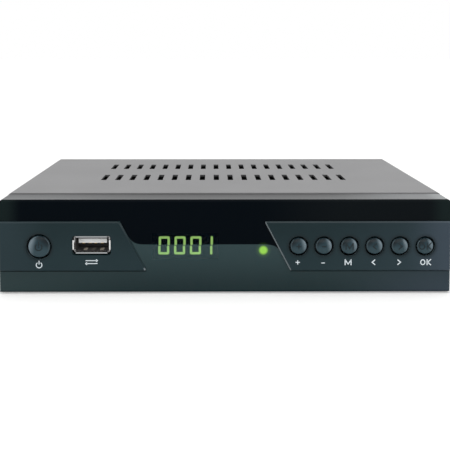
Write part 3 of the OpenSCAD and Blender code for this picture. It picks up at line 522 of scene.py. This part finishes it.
def fascia_plastic():
    """Black satin moulding with a fine grain, with a painted reflection making its top strip paler towards
    the front and the ends, and painted shade on its front faces behind the lens.
    """
    m = Recipe("fascia_plastic")
    low, high = corners_mm("front_fascia")
    fine = m.noise(4.5, 3.0)
    slow = m.noise(0.1)
    _, out, up = m.normals()
    forward = 1 - m.y.ramp(low[1] - 2, COVER_LOW[1])
    ends = abs(m.x).ramp(20, high[0])
    right_end = m.x.ramp(high[0] - 45, high[0] - 5)
    strip = up.ramp(0.15, 0.4) * m.z.ramp(high[2] - 1.5, high[2] - 1)
    right_tip = m.x.ramp(high[0] - 8, high[0] - 3)
    # painted reflection on the top strip, stronger towards the front, the ends and the right tip
    pale = strip * (forward * 0.46 + ends * 0.38)
    # painted shade: the front faces behind the lens are coloured nearly black and dull
    hidden_face = (-1 * out).ramp(0.5, 0.9)
    body = m.vary(shade(22, 24, 26), slow * 0.6 + fine * 0.4, 0.1)
    body = m.mix(hidden_face, body, shade(2, 2, 3))
    body = m.mix(pale, body, shade(104, 106, 108))
    body = m.mix(strip * right_end, body, m.mix(right_tip, shade(110, 112, 114), shade(134, 137, 138)))
    m.relief(fine, 0.005)
    return m.finish({
        "Base Color": body,
        "Roughness": 0.42 + (fine - 0.5) * 0.15 + hidden_face * 0.4,
        "Specular IOR Level": 0.25,
    })


def port_depth(m, front, reach):
    """How far into the front socket a place lies: 0 at its mouth, 1 where no light comes."""
    return m.y.ramp(front, front + reach)


def port_nickel():
    """Plated shell of the front socket: bright lips with painted shade on their upper and lower faces,
    painted shade deeper in, and painted warm glints of its springs, one at each pitch and the middle one
    dull."""
    pitch = 3.1
    set_right = 0.3
    spring_depth = 4.2
    m = Recipe("port_nickel")
    drawn = m.noise(2.0, 2.0, ALONG_Y)
    # painted shade: the shell grows dim deeper in the socket
    deep = port_depth(m, PORT_LOW[1] + 0.8, 0.8)
    middle = (PORT_LOW[0] + PORT_HIGH[0]) / 2
    rise = abs(m.z - (PORT_LOW[2] + PORT_HIGH[2]) / 2)
    aside = m.x - middle - set_right
    # painted glints of the springs on the socket's floor
    spring_glint = 1 - abs(aside.wrap(-pitch / 2, pitch / 2)).ramp(0.5, 0.9)
    spring_glint = spring_glint * (1 - abs(m.x - middle).ramp(4.2, 4.6))
    spring_glint = spring_glint * (1 - abs(m.y - (PORT_LOW[1] + spring_depth)).ramp(1.0, 2.2))
    spring_glint = spring_glint * (0.3 + abs(aside).ramp(0.8, 1.8) * 0.7)
    shaded_inside = m.mix(spring_glint, m.vary(shade(108, 107, 107), drawn, 0.35), shade(222, 212, 196))
    # painted shade on the upper and lower lips
    lips = m.mix(rise.ramp(2.3, 2.7), m.vary(shade(214, 215, 215), drawn, 0.06), shade(150, 152, 154))
    m.relief(drawn, 0.002)
    return m.finish({
        "Base Color": m.mix(deep, lips, shaded_inside),
        "Roughness": 0.24 + (drawn - 0.5) * 0.2 + deep * 0.15,
        "Metallic": (1 - deep * 0.4) * (1 - spring_glint * deep),
    })


def port_white():
    """White contact tongue, with painted shade where it runs back into the socket."""
    m = Recipe("port_white")
    fine = m.noise(3.0, 3.0)
    front = corners_mm("data_port_tongue")[0][1]
    # painted shade deeper in the socket
    deep = port_depth(m, front + 0.3, 1.6)
    m.relief(fine, 0.004)
    return m.finish({
        "Base Color": m.mix(deep, m.vary(shade(226, 227, 227), fine, 0.04), shade(46, 46, 47)),
        "Roughness": 0.4 + (fine - 0.5) * 0.15,
        "Specular IOR Level": 0.2,
    })


def board_green():
    """Circuit board: green solder mask over fine straight tracks, with bare cut edges."""
    m = Recipe("board_green")
    pitch = 1.27
    half = 0.22
    region = m.noise(0.06).ramp(0.47, 0.53)
    lines = [1 - abs(axis.wrap(-pitch / 2, pitch / 2)).ramp(half, half + 0.08) for axis in (m.x, m.y, m.z)]
    tracks = lines[0] * region + (lines[1] * lines[2].most(0.6)) * (1 - region)
    weave = m.noise(1.2)
    m.relief(tracks, 0.02)
    return m.finish({
        "Base Color": m.mix(tracks * 0.6, m.vary(shade(30, 84, 46), weave, 0.12), shade(58, 122, 66)),
        "Roughness": 0.34 + weave * 0.12,
        "Specular IOR Level": 0.4,
    })


def capacitor_sleeve():
    """Wound capacitors: dark sleeve with a pale polarity stripe, and a bare metal top."""
    count = 4
    low, high = corners_mm("capacitors")
    radius = (high[1] - low[1]) / 2
    pitch = (high[0] - low[0] - 2 * radius) / (count - 1)
    m = Recipe("capacitor_sleeve")
    beside = (m.x - (low[0] + radius)).wrap(-pitch / 2, pitch / 2)
    stripe = beside.ramp(radius * 0.72, radius * 0.76)
    top = m.z.ramp(high[2] - 0.15, high[2] - 0.1)
    grain = m.noise(2.0)
    sleeve = m.mix(stripe, m.vary(shade(24, 30, 52), grain, 0.1), shade(186, 190, 196))
    return m.finish({
        "Base Color": m.mix(top, sleeve, m.vary(shade(196, 198, 200), grain, 0.06)),
        "Roughness": 0.32 + grain * 0.12,
        "Metallic": top,
    })


def ribbon_grey():
    """Flat cable: parallel wires with grooves between them, the first one red."""
    low, high = corners_mm("ribbon_cable")
    wires = 10
    pitch = (high[0] - low[0]) / wires
    m = Recipe("ribbon_grey")
    beside = (m.x - low[0]).wrap(0.0, pitch) / pitch
    crown = 1 - (beside * 2 - 1) ** 2.0
    first = 1 - m.x.ramp(low[0] + pitch * 0.95, low[0] + pitch)
    grain = m.noise(1.0)
    m.relief(crown, 0.25)
    return m.finish({
        "Base Color": m.mix(first, m.vary(shade(150, 152, 152), grain, 0.08), shade(176, 40, 34)),
        "Roughness": 0.45 + grain * 0.1,
    })


FINISHES = {
    "painted_steel": painted_steel(),
    "zinc_steel": zinc_steel(),
    "black_screw": plated("black_screw", shade(52, 52, 54), rough=0.38),
    "bright_screw": plated("bright_screw", shade(186, 187, 186), rough=0.28),
    "rubber": moulded("rubber", shade(30, 30, 31), rough=0.78, grain=1.6, depth=0.03, spread=0.14, gloss=0.2),
    "fascia_plastic": fascia_plastic(),
    "smoked_lens": smoked_lens(),
    "control_plate": control_plate(),
    "button_plastic": button_plastic(),
    "switch_black": moulded("switch_black", shade(24, 24, 25), rough=0.55),
    "board_green": board_green(),
    "display_black": moulded("display_black", shade(2, 2, 3), rough=0.7, depth=0.003, spread=0.1, gloss=0.0),
    "lit_segment": lit("lit_segment", shade(140, 182, 96), strength=2.2),
    "lamp_green": lit("lamp_green", shade(152, 214, 58), strength=2.1),
    "white_plastic": moulded("white_plastic", shade(224, 224, 220), rough=0.4, depth=0.004, spread=0.03),
    "nickel": plated("nickel", shade(182, 183, 182), rough=0.24, stretch=ALONG_Y),
    "gold_contact": plated("gold_contact", shade(218, 178, 98), rough=0.24, stretch=ALONG_Y),
    "brass": plated("brass", shade(192, 164, 98), rough=0.26),
    "tin_plate": plated("tin_plate", shade(190, 192, 192), rough=0.3),
    "socket_black": moulded("socket_black", shade(26, 26, 27), rough=0.45),
    "socket_orange": moulded("socket_orange", shade(222, 112, 40), rough=0.42, depth=0.005, spread=0.05),
    "chip_black": moulded("chip_black", shade(36, 36, 38), rough=0.6, grain=4.0, depth=0.012),
    "sink_aluminium": plated(
        "sink_aluminium", shade(184, 187, 190), rough=0.34, stretch=ALONG_Y, scale=3.0, depth=0.006
    ),
    "capacitor_sleeve": capacitor_sleeve(),
    "ferrite": moulded("ferrite", shade(60, 60, 62), rough=0.7, grain=2.0, depth=0.03),
    "ribbon_grey": ribbon_grey(),
    "header_cream": moulded("header_cream", shade(222, 212, 188), spread=0.04),
}

for part in frame["record"]["subparts"]:
    for used in frame["nodes"][part["node"]].material_slots:
        used.material = FINISHES[part["material_slot"]]
frame["nodes"]["data_port_shell"].material_slots[0].material = port_nickel()
frame["nodes"]["data_port_tongue"].material_slots[0].material = port_white()


def arc(radius, start, stop, count=32):
    """Points on an arc, in degrees counter-clockwise from +X."""
    turn = np.radians(np.linspace(start, stop, count))
    return np.stack([np.cos(turn), np.sin(turn)], 1) * radius


def mark_strokes(mark):
    """Paths of a mark's strokes about its middle, X to the right and Z up, in millimetres: a control's own
    mark, or else two arrows that point opposite ways."""
    tall = 1.1
    if mark == "plus":
        arm = 0.8
        joint = FINE_STROKE / 2
        return [[(-arm, 0), (arm, 0)], [(0, joint), (0, arm)], [(0, -arm), (0, -joint)]]
    if mark == "minus":
        dash = 0.66
        return [[(-dash, 0), (dash, 0)]]
    if mark == "menu":
        stem = 1.1
        slope = stem - 0.1
        top = tall * 0.72
        fold = [(-slope, top), (0, -tall * 0.6), (slope, top)]
        return [[(-stem, -tall), (-stem, tall)], [(stem, -tall), (stem, tall)], fold]
    if mark in ("left", "right"):
        way = -1 if mark == "left" else 1
        tip = 0.6 * way
        back = -0.55 * way
        half = 0.95
        return [[(back, half), (tip, 0), (back, -half)]]
    if mark == "ok":
        ring_half = 0.78
        ring_set = -1.15
        stem = 0.45
        fork = 0.62
        end = 1.9
        ring = arc(1.0, 0, 360) * (ring_half, tall - LABEL_STROKE / 2) + (ring_set, 0)
        return [ring, [(stem, -tall), (stem, tall)], [(end, tall), (fork, 0.0), (end, -tall)]]
    if mark == "power":
        radius = 1.05
        mouth = 35
        foot = 0.25
        top = 1.65
        return [arc(radius, 90 + mouth, 450 - mouth), [(0, foot), (0, top)]]
    shaft = 2.2
    head = 0.5
    rise = 0.55
    return [
        [(-shaft, rise), (shaft - head, rise)],
        [(shaft - head, rise + head), (shaft, rise), (shaft - head, rise - head)],
        [(shaft, -rise), (head - shaft, -rise)],
        [(head - shaft, head - rise), (-shaft, -rise), (head - shaft, -head - rise)],
    ]


def walked(path, step=0.15):
    """A path with points no further apart than the step."""
    path = np.asarray(path, float)
    run = np.concatenate([[0], np.cumsum(np.linalg.norm(np.diff(path, axis=0), axis=1))])
    even = np.linspace(0, run[-1], int(run[-1] / step) + 2)
    at = np.unique(np.round(np.concatenate([run, even]), 6))
    at = at[np.concatenate([[True], np.diff(at) > step / 4])]
    return np.stack([np.interp(at, run, path[:, axis]) for axis in (0, 1)], 1)


def stroke_solid(path, width, surface):
    """A flat bar carried along a path: each point moves half a width to each side along the mitre of its two
    neighbouring normals, and the four corners stand from just under the surface to just over it."""
    path = np.asarray(path, float)
    closed = np.allclose(path[0], path[-1])
    steps = np.diff(path, axis=0)
    steps /= np.linalg.norm(steps, axis=1, keepdims=True)
    side = steps[:, ::-1] * (-1, 1)
    before = np.vstack([side[-1:] if closed else side[:1], side])
    after = np.vstack([side, side[:1] if closed else side[-1:]])
    mitre = before + after
    mitre *= width / 2 / np.sum(mitre * after, axis=1, keepdims=True)
    rails = np.stack([path + mitre, path - mitre], 1)
    face = surface(rails[..., 0], rails[..., 1])
    over = np.stack([rails[..., 0], face - PRINT_LIFT, rails[..., 1]], -1)
    under = np.stack([rails[..., 0], face + PRINT_SINK, rails[..., 1]], -1)
    ring = np.concatenate([over, under[:, ::-1]], 1)
    count = len(path) - 1 if closed else len(path)
    ring = ring[:count]
    grid = np.arange(count * 4).reshape(count, 4)
    here = grid if closed else grid[:-1]
    there = np.roll(grid, -1, 0) if closed else grid[1:]
    quads = np.stack([here, there, np.roll(there, -1, 1), np.roll(here, -1, 1)], -1).reshape(-1, 4)
    if not closed:
        quads = np.vstack([quads, grid[0], grid[-1, ::-1]])
    return ring.reshape(-1, 3), quads


def mesh_object(name, points, faces, material):
    """An object at the origin, from points in metres and the faces between them."""
    mesh = bpy.data.meshes.new(name)
    mesh.from_pydata(points.tolist(), [], faces.tolist())
    mesh.materials.append(material)
    made = bpy.data.objects.new(name, mesh)
    bpy.context.scene.collection.objects.link(made)
    return made


def printed_mark(name, mark, place, width, surface, body, material, size=1.0):
    """A control mark as thin raised print on a surface, given as depth over X and Z."""
    points = []
    faces = []
    count = 0
    for path in mark_strokes(mark):
        ring, quads = stroke_solid(walked(np.asarray(path, float) * size + place), width, surface)
        points.append(ring)
        faces.append(quads + count)
        count += len(ring)
    piece = mesh_object(name, np.vstack(points) * MM, np.vstack(faces), material)
    shaped = bmesh.new()
    shaped.from_mesh(piece.data)
    bmesh.ops.recalc_face_normals(shaped, faces=shaped.faces)
    shaped.to_mesh(piece.data)
    shaped.free()
    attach(piece, body)


def plate_surface(x, z):
    """Depth of the control plates' face."""
    return np.full(np.shape(x), PLATE_FACE)


def cap_surface(centre, radius, apex):
    """Depth of a cap's crown: a sphere through the apex, about a middle that lies deeper by its radius."""
    ball = crown_ball(radius)
    return lambda x, z: apex + ball - np.sqrt(ball ** 2 - (x - centre[0]) ** 2 - (z - centre[1]) ** 2)


label_print = moulded("label_print", shade(212, 221, 226), depth=0.003, spread=0.05, gloss=0.2)
cap_mark = moulded("cap_mark", shade(16, 28, 32), rough=0.4, grain=4.0, depth=0.004, spread=0.1, gloss=0.2)
base_z = LENS_LOW[2]
for cap in CAPS:
    low, high = corners_mm(cap + "_button")
    middle = ((low + high) / 2)[[0, 2]]
    rise = POWER_MARK_RISE if cap == "power" else LABEL_RISE - MINUS_DROP * (cap == "minus")
    spot = np.array([middle[0] + LABEL_SETS.get(cap, LABEL_SET), base_z + rise])
    stroke = FINE_STROKE if cap in FINE_LABELS else LABEL_STROKE
    printed_mark(cap + "_label", cap, spot, stroke, plate_surface, ROOT, label_print)
    radius = POWER_R if cap == "power" else KEY_R
    crown = cap_surface(middle, radius, low[1])
    printed_mark(
        cap + "_cap_mark", cap, middle, CAP_STROKE, crown, cap + "_key", cap_mark,
        CAP_MARK_SIZE
    )
port_middle = np.array([(PORT_LOW[0] + PORT_HIGH[0]) / 2, base_z + PORT_MARK_RISE])
printed_mark(
    "port_label", "port", port_middle, FINE_STROKE, plate_surface, ROOT, label_print
)


def studio_floor():
    """A wide pale floor that the camera sees as white, darker only where the object keeps light off it."""
    reach = 30.0
    count = 9
    m = Recipe("studio_floor")
    lift = m.seen() * (0.27 + length(m.x, m.y).ramp(150, 1500) * 0.35)
    paper = m.finish({
        "Base Color": m.vary(shade(230, 230, 229), m.noise(0.02), 0.01),
        "Roughness": 0.9,
        "Specular IOR Level": 0.0,
        "Emission Color": m.mix(lift, BLACK, WHITE),
        "Emission Strength": 1.0,
    })
    across = np.linspace(-reach, reach, count)
    x, y = np.meshgrid(across, across)
    points = np.stack([x, y, np.zeros_like(x)], -1).reshape(-1, 3)
    grid = np.arange(count * count).reshape(count, count)
    quads = np.stack([grid[:-1, :-1], grid[:-1, 1:], grid[1:, 1:], grid[1:, :-1]], -1).reshape(-1, 4)
    floor = mesh_object("studio_floor", points, quads, paper)


def soft_panel(name, place, aim, size, watts):
    """A soft light panel that faces a point."""
    light = bpy.data.lights.new(name, "AREA")
    light.shape = "RECTANGLE"
    light.size, light.size_y = size
    light.energy = watts
    lamp = bpy.data.objects.new(name, light)
    lamp.location = place
    lamp.rotation_euler = (Vector(aim) - Vector(place)).to_track_quat("-Z", "Y").to_euler()
    bpy.context.scene.collection.objects.link(lamp)


def white_room():
    """An even sky: plain white to the camera and in reflections, softer as a light."""
    world = bpy.data.worlds.new("white_room")
    bpy.context.scene.world = world
    world.use_nodes = True
    tree = Tree(world.node_tree)
    ambient = tree.nodes["Background"]
    tree.plug(ambient, {"Color": WHITE, "Strength": 0.6})
    plain = tree.node("ShaderNodeBackground", None, {"Color": WHITE, "Strength": 1.0})
    lights = {0: tree.seen(), 1: Sock(tree, ambient.outputs[0]), 2: plain}
    tree.plug(tree.nodes["World Output"], {"Surface": tree.node("ShaderNodeMixShader", None, lights)})


def camera():
    """A product view from a little above, close in, tilted down and turned a little aside, in degrees, with
    the object low in the lens's circle."""
    down = 3.577
    aside = 0.292
    lens = bpy.data.cameras.new("camera")
    lens.lens = 58.86
    lens.sensor_width = 36.0
    lens.shift_x = 0.0193
    lens.shift_y = -0.27
    lens.clip_start = 0.01
    lens.dof.use_dof = False
    view = bpy.data.objects.new("camera", lens)
    view.location = (-0.00467, -0.32789, 0.08829)
    view.rotation_euler = (math.radians(90 - down), 0, math.radians(-aside))
    bpy.context.scene.collection.objects.link(view)
    bpy.context.scene.camera = view


studio_floor()
white_room()
soft_panel("overhead_panel", (0.12, -0.15, 1.1), (0, 0, 0.02), (1.2, 0.9), 6.0)
soft_panel("front_panel", (0.0, -1.3, 0.7), (0, 0, 0.02), (1.4, 0.6), 3.4)
soft_panel("left_panel", (-0.68, -0.6, 0.26), (0, -0.02, 0.02), (0.32, 0.46), 1.2)
soft_panel("right_panel", (0.7, -0.57, 0.26), (0, -0.02, 0.02), (0.32, 0.46), 1.2)
camera()
bpy.context.scene.view_settings.view_transform = "Standard"
